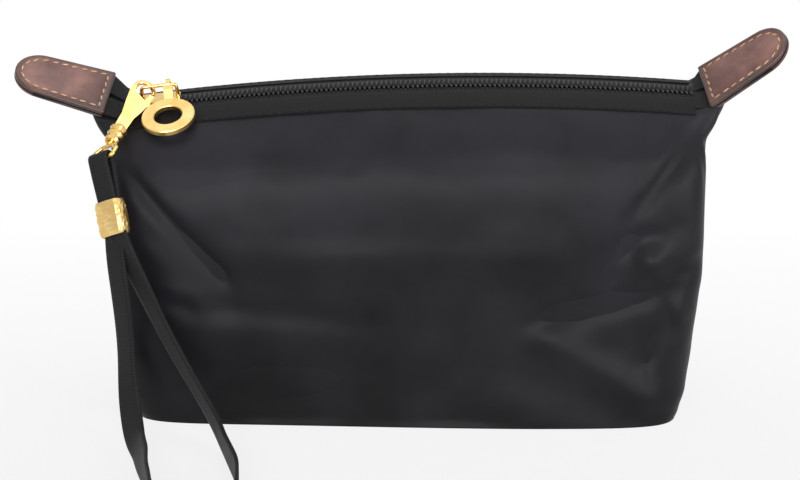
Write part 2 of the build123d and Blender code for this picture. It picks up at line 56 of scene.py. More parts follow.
def makeCamera(s):
    cam = bpy.data.cameras.new("camera")
    obj = bpy.data.objects.new("camera", cam)
    bpy.context.collection.objects.link(obj)
    el = radians(s["elevation"])
    target = Vector(s["target"]) * mm
    back = Vector((0, -cos(el), sin(el)))
    obj.location = target + back * s["distance"] * mm
    obj.rotation_euler = back.to_track_quat("Z", "Y").to_euler()
    cam.lens = s["lens"]
    cam.sensor_width = 36
    cam.clip_start = 0.05
    bpy.context.scene.camera = obj


makeCamera(camSet)
print("camera set")

# the zip lies on an arch: its centre, how far it leans back, and how its edges fold down; millimetres
zipSet = {"centre": (25.0, 162.1876, -726.8831), "radius": 850.0, "tilt": 11.0, "fold": 13.0, "flat": 4.8}
zipAcross = Vector((0, cos(radians(zipSet["tilt"])), sin(radians(zipSet["tilt"]))))
zipUp = Vector((0, -sin(radians(zipSet["tilt"])), cos(radians(zipSet["tilt"]))))


def zipOut(x):  # the direction out of the zip over x
    a = asin((x - zipSet["centre"][0]) / zipSet["radius"])
    return Vector((sin(a), 0, 0)) + zipUp * cos(a)


def foldHeight(w):  # how far the tape has folded down, w across the zip
    return -max(0.0, abs(w) - zipSet["flat"]) * tan(radians(zipSet["fold"]))


def onZip(x, w, h):  # millimetres: along the zip, across it to the back, out of it
    return Vector(zipSet["centre"]) + zipOut(x) * (zipSet["radius"] + h) + zipAcross * w


def smooth(a, b, t):  # rises gently from 0 at a to 1 at b
    t = min(1.0, max(0.0, (t - a) / (b - a)))
    return t * t * (3 - 2 * t)


def clamp(value):
    return max(-1, min(1, value))


def powered(value, power):  # keeps the sign
    return abs(value) ** power * (1 if value >= 0 else -1)


def addBall(bm, segments, rings):
    return bmesh.ops.create_uvsphere(bm, u_segments=segments, v_segments=rings, radius=1)["verts"]


def finishPiece(bm, name, mat, body):  # a piece given no body is left unattached
    bmesh.ops.recalc_face_normals(bm, faces=bm.faces)
    for f in bm.faces:
        f.smooth = True
    mesh = bpy.data.meshes.new(name)
    bm.to_mesh(mesh)
    bm.free()
    obj = bpy.data.objects.new(name, mesh)
    bpy.context.collection.objects.link(obj)
    mesh.materials.append(mat)
    if body:
        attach(obj, body)
    return obj


def newMaterial(name, color, rough, **sockets):
    mat = bpy.data.materials.new(name)
    mat.use_nodes = True
    shader = mat.node_tree.nodes["Principled BSDF"]
    shader.inputs["Base Color"].default_value = (*color, 1)
    shader.inputs["Roughness"].default_value = rough
    for key, value in sockets.items():
        shader.inputs[key.replace("_", " ")].default_value = value
    return mat, mat.node_tree, shader


def coords(tree, scale=(1, 1, 1), source="Object"):
    tc = tree.nodes.new("ShaderNodeTexCoord")
    mp = tree.nodes.new("ShaderNodeMapping")
    mp.inputs["Scale"].default_value = scale
    tree.links.new(tc.outputs[source], mp.inputs["Vector"])
    return mp.outputs["Vector"]


def noiseNode(tree, vector, scale, detail=3.0, rough=0.55):
    n = tree.nodes.new("ShaderNodeTexNoise")
    n.inputs["Scale"].default_value = scale
    n.inputs["Detail"].default_value = detail
    n.inputs["Roughness"].default_value = rough
    tree.links.new(vector, n.inputs["Vector"])
    return n.outputs["Fac"]


def waveNode(tree, vector, scale, direction="X", distortion=0.0):
    n = tree.nodes.new("ShaderNodeTexWave")
    n.bands_direction = direction
    n.inputs["Scale"].default_value = scale
    n.inputs["Distortion"].default_value = distortion
    n.inputs["Detail"].default_value = 1.0
    n.inputs["Detail Scale"].default_value = 2.0
    tree.links.new(vector, n.inputs["Vector"])
    return n.outputs["Fac"]


def mathNode(tree, op, a, b):
    n = tree.nodes.new("ShaderNodeMath")
    n.operation = op
    for i, v in enumerate((a, b)):
        if isinstance(v, (int, float)):
            n.inputs[i].default_value = v
        else:
            tree.links.new(v, n.inputs[i])
    return n.outputs[0]


def rampNode(tree, fac, stops):
    n = tree.nodes.new("ShaderNodeValToRGB")
    while len(n.color_ramp.elements) < len(stops):
        n.color_ramp.elements.new(0.5)
    for e, (p, c) in zip(n.color_ramp.elements, stops):
        e.position = p
        e.color = (*c, 1)
    tree.links.new(fac, n.inputs["Fac"])
    return n.outputs["Color"]


def bumpNode(tree, shader, height, distance, strength=1.0, before=None):
    n = tree.nodes.new("ShaderNodeBump")
    n.inputs["Strength"].default_value = strength
    n.inputs["Distance"].default_value = distance
    tree.links.new(height, n.inputs["Height"])
    if before is not None:
        tree.links.new(before, n.inputs["Normal"])
    tree.links.new(n.outputs["Normal"], shader.inputs["Normal"])
    return n.outputs["Normal"]


def roughRange(tree, shader, fac, low, high):
    n = tree.nodes.new("ShaderNodeMapRange")
    n.inputs["To Min"].default_value = low
    n.inputs["To Max"].default_value = high
    tree.links.new(fac, n.inputs["Value"])
    tree.links.new(n.outputs["Result"], shader.inputs["Roughness"])


def nylonCloth():  # fine plain weave with a soft sheen and slow cloudy tone, with painted shade darker towards the bottom and painted light paler towards the zip
    mat, tree, shader = newMaterial("nylonCloth", (0.014, 0.0136, 0.0172), 0.46,
                                    Specular_IOR_Level=0.155, Sheen_Weight=0.03, Sheen_Roughness=0.4,
                                    Sheen_Tint=(0.78, 0.76, 0.86, 1))
    v = coords(tree)
    split = tree.nodes.new("ShaderNodeSeparateXYZ")
    tree.links.new(v, split.inputs[0])
    paintedShadeByHeight = tree.nodes.new("ShaderNodeMapRange")  # painted light and shade: paler towards the zip, darker towards the bottom
    paintedShadeByHeight.inputs["From Max"].default_value = 0.09
    paintedShadeByHeight.inputs["To Min"].default_value = -0.22
    paintedShadeByHeight.inputs["To Max"].default_value = 0.12
    tree.links.new(split.outputs["Z"], paintedShadeByHeight.inputs["Value"])
    # the random cloudy tone plus the painted shade and light by height
    cloudAndPaintedShade = mathNode(tree, "ADD", noiseNode(tree, v, 26, 4, 0.6), paintedShadeByHeight.outputs["Result"])
    color = rampNode(tree, cloudAndPaintedShade, [(0.25, (0.0034, 0.0033, 0.0042)), (0.75, (0.0150, 0.0144, 0.0184))])
    tree.links.new(color, shader.inputs["Base Color"])
    warp = waveNode(tree, v, 900, "X")
    weft = waveNode(tree, v, 900, "Z")
    weave = mathNode(tree, "MAXIMUM", warp, weft)
    first = bumpNode(tree, shader, weave, 0.00002, 0.5)
    bumpNode(tree, shader, noiseNode(tree, v, 160, 3), 0.00012, 0.35, before=first)
    roughRange(tree, shader, noiseNode(tree, v, 60, 3), 0.42, 0.56)
    return mat


def ribbedTape(name, pitch, tone):  # woven tape with fine ribs across it
    mat, tree, shader = newMaterial(name, (tone, tone, tone * 1.05), 0.66, Specular_IOR_Level=0.16,
                                    Sheen_Weight=0.02, Sheen_Roughness=0.4)
    v = coords(tree)
    ribs = waveNode(tree, v, pitch, "X", 0.4)
    fine = waveNode(tree, v, pitch * 1.7, "DIAGONAL", 0.6)
    both = mathNode(tree, "ADD", ribs, fine)
    color = rampNode(tree, both, [(0.2, (tone * 0.55,) * 3), (0.9, (tone * 1.7, tone * 1.65, tone * 1.75))])
    tree.links.new(color, shader.inputs["Base Color"])
    bumpNode(tree, shader, both, 0.00012, 0.6)
    return mat


def leatherSkin():  # waxed brown hide: mottled, darker at the edges, small grain, with painted shade at the inner, lower end and a painted sheen on the face
    mat, tree, shader = newMaterial("leatherSkin", (0.14, 0.055, 0.038), 0.4, Coat_Weight=0.35,
                                    Coat_Roughness=0.22, Specular_IOR_Level=0.55)
    v = coords(tree)
    mottle = noiseNode(tree, v, 95, 4, 0.6)
    color = rampNode(tree, mottle, [(0.30, (0.070, 0.024, 0.017)), (0.5, (0.135, 0.050, 0.036)),
                                    (0.68, (0.215, 0.092, 0.070))])
    edgeAndPaintedLight = tree.nodes.new("ShaderNodeAttribute")
    edgeAndPaintedLight.attribute_name = "edgeAndPaintedLight"  # 0 on the cut edge, half at the inner end where painted shade falls, 1 on the face where a painted sheen lies
    # darker on the cut edge, painted shade towards the inner end, and a painted sheen paler than the hide on
    # the face
    shade = rampNode(tree, edgeAndPaintedLight.outputs["Fac"], [(0.0, (0.30, 0.26, 0.26)), (0.45, (0.62, 0.42, 0.34)),
                                                 (0.75, (0.92, 0.86, 0.84)), (1.0, (1.12, 1.15, 1.2))])
    mix = tree.nodes.new("ShaderNodeMix")
    mix.data_type = "RGBA"
    mix.blend_type = "MULTIPLY"
    mix.inputs["Factor"].default_value = 1.0
    tree.links.new(color, mix.inputs["A"])
    tree.links.new(shade, mix.inputs["B"])
    tree.links.new(mix.outputs["Result"], shader.inputs["Base Color"])
    grain = tree.nodes.new("ShaderNodeTexVoronoi")
    grain.inputs["Scale"].default_value = 1500
    tree.links.new(v, grain.inputs["Vector"])
    first = bumpNode(tree, shader, grain.outputs["Distance"], 0.00006, 0.5)
    bumpNode(tree, shader, noiseNode(tree, v, 260, 4), 0.00015, 0.4, before=first)
    roughRange(tree, shader, noiseNode(tree, v, 320, 3), 0.30, 0.5)
    return mat


def waxedThread():
    mat, tree, shader = newMaterial("waxedThread", (0.50, 0.30, 0.18), 0.55, Sheen_Weight=0.2)
    v = coords(tree)
    tone = noiseNode(tree, v, 400, 2)
    color = rampNode(tree, tone, [(0.3, (0.40, 0.22, 0.12)), (0.7, (0.62, 0.40, 0.26))])
    tree.links.new(color, shader.inputs["Base Color"])
    bumpNode(tree, shader, waveNode(tree, v, 1100, "DIAGONAL"), 0.0001, 0.6)
    return mat


def goldPlate(name, rough, grain):  # plated metal with fine brushing and slight tone changes
    mat, tree, shader = newMaterial(name, (0.86, 0.60, 0.22), rough, Metallic=1.0)
    v = coords(tree)
    tone = noiseNode(tree, v, 180, 3)
    color = rampNode(tree, tone, [(0.3, (0.78, 0.50, 0.155)), (0.7, (0.92, 0.68, 0.30))])
    tree.links.new(color, shader.inputs["Base Color"])
    bumpNode(tree, shader, noiseNode(tree, coords(tree, (1, 0.12, 1)), grain, 4, 0.7), 0.00003, 0.5)
    roughRange(tree, shader, noiseNode(tree, v, 700, 3), rough * 0.75, rough * 1.35)
    return mat


def nylonCoil():
    mat, tree, shader = newMaterial("nylonCoil", (0.016, 0.016, 0.017), 0.36, Specular_IOR_Level=0.5)
    v = coords(tree)
    roughRange(tree, shader, noiseNode(tree, v, 900, 2), 0.3, 0.5)
    bumpNode(tree, shader, noiseNode(tree, v, 1500, 2), 0.00003, 0.4)
    return mat


def strapWeb():  # dense matt webbing, its weave follows the strap
    mat, tree, shader = newMaterial("strapWeb", (0.0075, 0.0075, 0.0080), 0.62, Specular_IOR_Level=0.18,
                                    Sheen_Weight=0.04, Sheen_Roughness=0.4)
    v = coords(tree, (1, 1, 1), "UV")
    ribs = waveNode(tree, v, 300, "X", 0.2)
    across = waveNode(tree, v, 40, "Y", 0.0)
    both = mathNode(tree, "ADD", ribs, across)
    color = rampNode(tree, both, [(0.3, (0.0045, 0.0045, 0.0050)), (0.9, (0.0110, 0.0110, 0.0120))])
    tree.links.new(color, shader.inputs["Base Color"])
    bumpNode(tree, shader, both, 0.0001, 0.5)
    return mat


mats = {"cloth": nylonCloth(), "tape": ribbedTape("zipTape", 520, 0.008),
        "band": ribbedTape("facingBand", 700, 0.0048), "leather": leatherSkin(), "thread": waxedThread(),
        "gold": goldPlate("brushedGold", 0.30, 900), "bright": goldPlate("polishedGold", 0.17, 500),
        "coil": nylonCoil(), "web": strapWeb()}
print("materials made")

# the route goes down from the clip, round on the floor and up again
strapSet = {
    "width": 8.5, "wall": 1.2, "route": [
        (-94.97, -33.63, 72.19), (-94.85, -36.9, 61.95), (-92.9, -39.7, 47.5), (-91.8, -40.1, 33.5),
        (-91.4, -42.0, 21.0), (-90.3, -46.2, 11.0), (-88.3, -54.5, 4.6), (-85.5, -65.5, 4.3),
        (-83.3, -79.0, 4.3), (-80.9, -91.5, 4.3), (-79.4, -102.3, 4.3), (-74.3, -109.9, 4.3),
        (-65.9, -112.6, 4.3), (-57.6, -109.4, 4.3), (-52.9, -101.9, 4.3), (-53.2, -92.0, 4.3),
        (-53.9, -82.0, 4.3), (-55.9, -73.0, 4.3), (-59.1, -60.0, 4.5), (-62.4, -50.6, 8.2),
        (-67.5, -45.4, 15.6), (-74.0, -42.2, 26.0), (-81.0, -40.4, 39.5), (-86.4, -40.2, 52.0),
        (-91.8, -39.27, 63.6), (-95.89, -34.67, 72.41)],
    # how far along, and the way the strap's width points: flat in the clip, on edge on the floor
    "turns": [(0.0, (0.726, -0.564, 0.394)), (0.06, (0.72, -0.65, 0.24)), (0.16, (0.68, -0.73, 0.05)),
              (0.23, (0.75, -0.30, 0.45)), (0.30, (0.42, 0.0, 0.90)), (0.38, (0.08, 0.0, 1.0)),
              (0.62, (0.0, 0.05, 1.0)), (0.69, (0.12, -0.55, 0.80)), (0.77, (0.36, -0.75, 0.50)),
              (0.86, (0.55, -0.75, 0.30)), (0.95, (0.68, -0.66, 0.33)), (1.0, (0.726, -0.564, 0.394))]}


def widthAt(t):  # the way the strap's width points, t along its route
    keys = strapSet["turns"]
    for (a, va), (b, vb) in zip(keys, keys[1:]):
        if t <= b:
            return Vector(va).lerp(Vector(vb), smooth(a, b, t)).normalized()
    return Vector(keys[-1][1])


def splinePoints(name, route):
    curve = bpy.data.curves.new(name, "CURVE")
    curve.dimensions = "3D"
    spline = curve.splines.new("NURBS")
    spline.points.add(len(route) - 1)
    for point, place in zip(spline.points, route):
        point.co = (*(Vector(place) * mm), 1)
    spline.order_u = 3
    spline.use_endpoint_u = True
    spline.resolution_u = 10
    obj = bpy.data.objects.new(name, curve)
    mesh = bpy.data.meshes.new_from_object(obj)
    points = [v.co.copy() for v in mesh.vertices]
    bpy.data.objects.remove(obj)
    bpy.data.meshes.remove(mesh)
    bpy.data.curves.remove(curve)
    return points


ribbonSet = {"rows": 6, "flat": 0.93}


def ribbonAlong(points, widthOf, halfWidth, halfWall):
    # a flat section with rounded edges, carried along the points; UV in metres along and across
    bm = bmesh.new()
    uv = bm.loops.layers.uv.new("UVMap")
    rows = ribbonSet["rows"]
    face = [((-1 + 2 * i / rows) * ribbonSet["flat"], 1.0) for i in range(rows + 1)]
    section = [(-1.0, 0.0)] + face + [(1.0, 0.0)] + [(s, -1.0) for s, _ in reversed(face)]
    total = sum((b - a).length for a, b in zip(points, points[1:]))
    rings, stations, run = [], [], 0.0
    for i, p in enumerate(points):
        if i:
            run += (p - points[i - 1]).length
        along = (points[min(i + 1, len(points) - 1)] - points[max(i - 1, 0)]).normalized()
        wide = widthOf(run / total)
        wide = (wide - along * wide.dot(along)).normalized()
        thick = along.cross(wide)
        rings.append([bm.verts.new(p + wide * halfWidth * s + thick * halfWall * n) for s, n in section])
        stations.append(run)
    count = len(section)
    for i, (a, b) in enumerate(zip(rings, rings[1:])):
        for j in range(count):
            k = (j + 1) % count
            f = bm.faces.new((a[j], a[k], b[k], b[j]))
            for loop, (u, v) in zip(f.loops, ((stations[i], j), (stations[i], j + 1),
                                              (stations[i + 1], j + 1), (stations[i + 1], j))):
                loop[uv].uv = (u, v * 4 * halfWidth / count)
    bm.faces.new(rings[0])
    bm.faces.new(rings[-1][::-1])
    return bm


def makeLoop(path, s):
    bm = ribbonAlong(path, widthAt, s["width"] / 2 * mm, s["wall"] / 2 * mm)
    return finishPiece(bm, "strapLoop", mats["web"], "clasp")


strapPath = splinePoints("strapRoute", strapSet["route"])
strapLoop = makeLoop(strapPath, strapSet)
print("strap loop made")

# the swivel's eye, the ways down the strap and across it, and the clip pressed round the strap
clipSet = {"eye": (-99.3404, -26.8661, 89.9425), "down": (0.200456, -0.373848, -0.905569),
           "right": (0.725838, -0.564147, 0.393569), "start": 14.0, "length": 11.4, "width": 10.3,
           "height": 5.6, "corner": 1.9, "around": 48, "steps": 26, "swell": 0.05, "dent": 0.34,
           "dentScale": 1.15, "wall": 0.75}
# the strap folds round the swivel's bar
foldSet = {"around": 0.87, "tail": 19.5, "apart": 0.02, "rows": 12, "turnRows": 10, "still": 13.0}


def clipAxes():  # the eye, and the ways down the strap, across it and through it
    eye, down, right = Vector(clipSet["eye"]), Vector(clipSet["down"]), Vector(clipSet["right"])
    return eye, down, right, down.cross(right)


def makeFold(s):
    eye, down, right, through = clipAxes()
    half = strapSet["wall"] / 2
    r = s["around"] + half
    route = []
    for i in range(s["rows"]):  # the bar to the inside of the clip, down one face
        t = i / (s["rows"] - 1)
        route.append((r + (half + s["apart"] - r) * smooth(0, 1, t), s["tail"] * t))
    turn = [pi * k / s["turnRows"] for k in range(1, s["turnRows"])]
    arc = [(r * cos(a), -r * sin(a)) for a in turn]
    lower = [(-x, y) for x, y in route]
    places = [(eye + through * x + down * y) * mm for x, y in route[::-1] + arc + lower]
    bm = ribbonAlong(places, lambda t: right, strapSet["width"] / 2 * mm, half * mm)
    return finishPiece(bm, "strapFold", mats["web"], None)


def makeClip(s):  # the pressed sleeve: a rounded oblong tube with hammered faces
    eye, down, right, through = clipAxes()
    bm = bmesh.new()
    bmesh.ops.create_circle(bm, cap_ends=False, segments=s["around"], radius=1)
    halfW, halfH, corner = s["width"] / 2, s["height"] / 2, s["corner"]
    squareness = 1.6
    for v in bm.verts:
        a = atan2(v.co.y, v.co.x)
        c, d = cos(a), sin(a)
        v.co = Vector(((halfW - corner) * clamp(c * squareness) + corner * c,
                       (halfH - corner) * clamp(d * squareness) + corner * d, 0))
    edges = list(bm.edges)
    for _ in range(s["steps"]):
        out = bmesh.ops.extrude_edge_only(bm, edges=edges)["geom"]
        fresh = [v for v in out if isinstance(v, bmesh.types.BMVert)]
        edges = [e for e in out if isinstance(e, bmesh.types.BMEdge) and all(v in fresh for v in e.verts)]
        bmesh.ops.translate(bm, verts=fresh, vec=(0, 0, s["length"] / s["steps"]))
    for v in bm.verts:
        t = v.co.z / s["length"]
        ends = smooth(0.12, 0.0, t) + smooth(0.88, 1.0, t)
        swell = 1 + s["swell"] * sin(pi * t) - s["swell"] * ends
        v.co.x *= swell
        v.co.y *= swell
        if 0.05 < t < 0.95:
            dent = noise.noise(v.co * s["dentScale"]) * s["dent"]
            v.co += Vector((v.co.x, v.co.y, 0)).normalized() * dent
    bmesh.ops.recalc_face_normals(bm, faces=bm.faces)
    bmesh.ops.solidify(bm, geom=list(bm.faces), thickness=s["wall"])
    for v in bm.verts:
        p = v.co.copy()
        v.co = (eye + right * p.x + through * p.y + down * (s["start"] + p.z)) * mm
    return finishPiece(bm, "strapClip", mats["gold"], "clasp")


strapFold = makeFold(foldSet)
strapClip = makeClip(clipSet)
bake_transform(strapFold)
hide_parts("strap")
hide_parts("strap_fold")
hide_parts("crimp")
strapLength = sum((b - a).length for a, b in zip(strapPath, strapPath[1:]))
print("strap length", round(strapLength, 4))
print("fold and clip made")

springSet = {"foot": (-90.52, -5.17, 103.42), "along": (0.8700, -0.1032, -0.4821), "length": 2.4,
             "radius": 0.5, "wire": 0.27, "turns": 5, "perTurn": 16, "sides": 8, "pressed": 0.7}


def makeSpring(s):  # a coil of round wire
    foot, along = Vector(s["foot"]), Vector(s["along"])
    sideways = along.orthogonal().normalized()
    upward = along.cross(sideways)
    bm = bmesh.new()
    rings = []
    count = s["turns"] * s["perTurn"]
    roundWire = [2 * pi * k / s["sides"] for k in range(s["sides"])]
    for i in range(count + 1):
        a = 2 * pi * i / s["perTurn"]
        out = sideways * cos(a) + upward * sin(a)
        middle = foot + out * s["radius"] + along * (s["length"] * i / count)
        ring = [middle + (out * cos(b) + along * sin(b)) * s["wire"] / 2 for b in roundWire]
        rings.append([bm.verts.new(p * mm) for p in ring])
    for one, two in zip(rings, rings[1:]):
        for k in range(s["sides"]):
            after = (k + 1) % s["sides"]
            bm.faces.new((one[k], one[after], two[after], two[k]))
    bm.faces.new(rings[0])
    bm.faces.new(rings[-1])
    piece = finishPiece(bm, "triggerSpring", mats["bright"], "clasp")
    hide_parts("trigger_spring")
    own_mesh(piece)


makeSpring(springSet)
print("spring made")

pouchSet = {
    "around": 280, "rows": 70, "corner": 7.5, "rimCorner": 9.0, "rimHalf": 97.5, "deep": 33.5,
    "footForward": 0.14, "backLift": 4.0, "tuckIn": 11.9, "tuckDrop": 0.75, "rimEdge": 13.5, "rimDrop": 0.25,
    # height, then half widths to the left and to the right
    "width": [(0, 90.6, 88.8), (3, 92.0, 90.0), (10, 94.4, 92.0), (25, 96.6, 93.8), (42, 97.4, 95.6),
              (48, 97.5, 96.6), (62, 97.7, 96.8), (85, 97.4, 96.7), (100, 97.3, 96.9), (125, 97.5, 97.5)],
    # share of the depth, and how far under the zip
    "profile": [(0.62, -11.0), (0.80, -18.5), (0.92, -30.0)],
    # share of the depth, and share of the zip's height
    "lower": [(0.98, 0.48), (1.0, 0.24), (0.965, 0.075), (0.93, 0.0)],
    # how the top corners pull out towards the tabs
    "ears": {-1: {"reach": 8.4, "low": 87.0, "high": 99.0, "rise": 3.6},
             1: {"reach": 6.8, "low": 91.0, "high": 101.5, "rise": 2.6}},
    # between these heights the front stands out by no more than this, and fades to it at both ends
    "room": (58, 65, 82, 90), "roomSwell": 0.3,
    # the base closes towards its middle line through these shares of its depth
    "base": (0.9, 0.6, 0.3, 0.0),
    # uneven cloth: the size of its waves each way, their shift and their depth
    "big": ((41, 30, 34), (0, 0, 4.2), 1.5), "small": ((15, 12, 13), (7, 0, 0), 0.35),
    "pucker": ((4.2, 25, 26), (0, 0, 0), 0.42), "gather": ((30, 2.6, 22), (0, 0, 0), 1.1),
    # from, to (along and up), half width, depth: plus stands out, minus sinks in
    "folds": [((-97, 90), (-60, 51), 1.9, -2.0), ((-96, 78), (-72, 47), 5.5, 0.9),
              ((-86, 94), (-53, 58), 7.0, 1.2), ((-81, 44), (-70, 41), 2.0, -1.3),
              ((-83, 47), (-66, 44), 3.0, 0.9), ((-70, 41), (-10, 36), 3.4, -0.9),
              ((-66, 36), (-20, 30), 8.0, 0.7), ((-62, 56), (-58, 38), 4.0, -0.8),
              ((96, 99), (70, 70), 2.6, -2.4), ((99, 84), (74, 52), 5.0, 1.8),
              ((78, 95), (58, 66), 9.0, 1.2), ((72, 70), (62, 48), 4.0, -0.9),
              ((41, 36), (86, 47), 2.2, -2.4), ((43, 32), (80, 9), 5.4, 2.7),
              ((52, 30), (84, 38), 4.5, 0.7), ((69, 61), (91, 69), 2.5, -2.3),
              ((74, 54), (84, 60), 3.2, 1.5), ((83, 51), (97, 56), 1.8, -2.0),
              ((84, 54), (97, 60), 2.6, 1.0), ((75, 61), (85, 49), 2.6, 1.7),
              ((84, 46), (90, 36), 2.4, 1.8), ((86, 47), (77, 20), 2.2, -1.9),
              ((28, 22), (64, 8), 6.0, -0.9), ((-60, 20), (-20, 12), 9.0, -0.6),
              ((-58, 61), (52, 60), 7.5, 1.0), ((88, 30), (78, 6), 5.0, 1.2),
              ((-92, 30), (-80, 8), 6.0, 0.9), ((-20, 90), (-12, 70), 5.0, -0.5),
              ((34, 90), (30, 66), 6.0, -0.5)]}


def tableAt(table, z, column):  # halfway between straight lines and smooth steps
    for a, b in zip(table, table[1:]):
        if z <= b[0]:
            rise = b[column] - a[column]
            return a[column] + rise * smooth(a[0], b[0], z) * 0.5 + rise * 0.5 * (z - a[0]) / (b[0] - a[0])
    return table[-1][column]


def evenly(points, wants):  # places at these shares of the way along the points
    runs = [0.0]
    for (ax, ay), (bx, by) in zip(points, points[1:]):
        runs.append(runs[-1] + sqrt((bx - ax) ** 2 + (by - ay) ** 2))
    places, k = [], 0
    for want in wants:
        while runs[k + 1] < want * runs[-1]:
            k += 1
        t = (want * runs[-1] - runs[k]) / max(1e-9, runs[k + 1] - runs[k])
        places.append((points[k][0] + (points[k + 1][0] - points[k][0]) * t,
                       points[k][1] + (points[k + 1][1] - points[k][1]) * t))
    return places, runs[-1]


def roundedLoop(count, power, halfX, halfY):
    # evenly spaced places round a squared-off ring, as shares of its half sizes
    fine = 4000
    turns = [2 * pi * i / fine for i in range(fine + 1)]
    ring = [(halfX * powered(cos(a), 2 / power), halfY * powered(sin(a), 2 / power)) for a in turns]
    places, _ = evenly(ring, [i / count for i in range(count)])
    return [(x / halfX, y / halfY) for x, y in places]


def curveThrough(points, t):  # a Catmull-Rom curve
    n = len(points) - 1
    i = min(n - 1, int(t * n))
    f = t * n - i
    p = [points[max(i - 1, 0)], points[i], points[i + 1], points[min(i + 2, n)]]
    out = []
    for a, b, c, d in zip(*p):
        out.append(0.5 * (2 * b + (c - a) * f + (2 * a - 5 * b + 4 * c - d) * f * f
                          + (3 * b - a - 3 * c + d) * f ** 3))
    return out


def waveAt(place, wave):
    size, shift, deep = wave
    return noise.noise(Vector([p / k + d for p, k, d in zip(place, size, shift)])) * deep


def foldDepth(x, z, folds):  # how far the cloth stands out at a place, from all the folds near it
    total = 0.0
    for (ax, az), (bx, bz), wide, depth in folds:
        dx, dz = bx - ax, bz - az
        length = sqrt(dx * dx + dz * dz)
        t = ((x - ax) * dx + (z - az) * dz) / length
        off = ((x - ax) * -dz + (z - az) * dx) / length
        end = smooth(-0.18 * length, 0.16 * length, t) * smooth(1.2 * length, 0.8 * length, t)
        total += depth * end * exp(-(off / wide) ** 2)
    return total


def pouchPlace(station, share, t, s):
    # station runs along the pouch, share across it, both -1 to 1; t runs from the rim to the floor
    side = 1 if share >= 0 else -1
    end = -1 if station < 0 else 1
    rimX = station * s["rimHalf"]
    rimShare = (1 - abs(station) ** s["rimCorner"]) ** (1 / s["rimCorner"]) * side
    height = onZip(rimX, 0, 0).z
    tuck = onZip(rimX, s["tuckIn"] * rimShare, -s["tuckDrop"])
    edge = onZip(rimX, s["rimEdge"] * rimShare, 0)
    tuck.z += foldHeight(s["tuckIn"] * rimShare)
    edge.z += foldHeight(s["rimEdge"] * rimShare) - s["rimDrop"]
    lift = s["backLift"] if side > 0 else 0.0
    full = abs(share)
    points = [(tuck.y, tuck.z), (edge.y, edge.z)]
    points += [(side * s["deep"] * k * full, height + d + lift) for k, d in s["profile"]]
    points += [(side * s["deep"] * k * full, height * d) for k, d in s["lower"]]
    if side < 0:  # the front's foot comes forward to the right
        foot = s["deep"] * full * s["footForward"] * smooth(-0.9, 0.5, station)
        points[-1] = (points[-1][0] - foot, 0.0)
        points[-2] = (points[-2][0] - foot * 0.6, points[-2][1])
    y, z = curveThrough(points, t)
    x = station * tableAt(s["width"], z, 1 if station < 0 else 2)
    ear = s["ears"][end]
    close = smooth(0.80, 1.0, abs(station)) * smooth(1.0, 0.25, full)
    x += end * ear["reach"] * close * smooth(ear["low"], ear["high"], z)
    z += ear["rise"] * close * smooth(ear["low"] + 4, ear["high"], z)
    return Vector((x, y, z)), side


def makePouch(s):
    bm = bmesh.new()
    rows = s["rows"]
    spine = [bm.verts.new((1, 0, i)) for i in range(rows + 1)]
    edges = [bm.edges.new((a, b)) for a, b in zip(spine, spine[1:])]
    bmesh.ops.spin(bm, geom=spine + edges, axis=(0, 0, 1), cent=(0, 0, 0), angle=2 * pi,
                   steps=s["around"], use_merge=True)
    bmesh.ops.remove_doubles(bm, verts=bm.verts, dist=1e-5)
    halfLength = 92
    loop = roundedLoop(s["around"], s["corner"], halfLength, s["deep"])
    step = 2 * pi / s["around"]
    for v in list(bm.verts):
        i = round((atan2(v.co.y, v.co.x) % (2 * pi)) / step) % s["around"]
        t = round(v.co.z) / rows
        station, share = loop[i]
        (x, y, z), side = pouchPlace(station, share, t, s)
        soft = smooth(0.04, 0.16, t) * smooth(1.0, 0.93, t)
        if side < 0:
            push = foldDepth(x, z, s["folds"])
        else:  # the back has the front's folds, turned round and fainter
            push = foldDepth(-x * 0.94 + 4, z + 3, s["folds"]) * 0.8
        uneven = waveAt((x, y, z), s["big"]) + waveAt((x, y, z), s["small"])
        pucker = waveAt((x, y, z), s["pucker"]) * smooth(0.04, 0.12, t) * smooth(0.42, 0.16, t)
        gather = waveAt((x, y, z), s["gather"]) * smooth(0.93, 1.0, abs(station)) * smooth(70, 92, z)
        swell = ((push * min(1.0, abs(share) * 1.3) + uneven) * soft + pucker) * abs(share)
        if side < 0:  # the front keeps clear of the strap's clip as the slider carries it past
            a, b, c, d = s["room"]
            swell += (min(swell, s["roomSwell"]) - swell) * smooth(a, b, z) * smooth(d, c, z)
        y += side * swell
        x += (1 if station > 0 else -1) * gather
        v.co = Vector((x, y, max(z, 0.0))) * mm
    base = [e for e in bm.edges if e.is_boundary and all(v.co.z < 0.5 * mm for v in e.verts)]
    left = 1.0
    for share in s["base"]:
        grown = bmesh.ops.extrude_edge_only(bm, edges=base)["geom"]
        base = [e for e in grown if isinstance(e, bmesh.types.BMEdge)]
        for v in [v for v in grown if isinstance(v, bmesh.types.BMVert)]:
            v.co.y *= share / left
            v.co.z = 0.0
        left = share
    bmesh.ops.remove_doubles(bm, verts=bm.verts, dist=0.00005)
    piece = finishPiece(bm, "pouchCloth", mats["cloth"], "pouch")
    sub = piece.modifiers.new("smooth", "SUBSURF")
    sub.levels = sub.render_levels = 1
    return piece


pouchCloth = makePouch(pouchSet)
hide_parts("front_panel", "back_panel")
print("pouch made")

teethSet = {"pitch": 1.58, "from": -90.3, "to": 93.4, "thick": 0.42, "inner": 0.3, "outer": 2.75,
            "height": 0.55, "rise": 0.35, "deep": 0.50, "slant": 0.10}


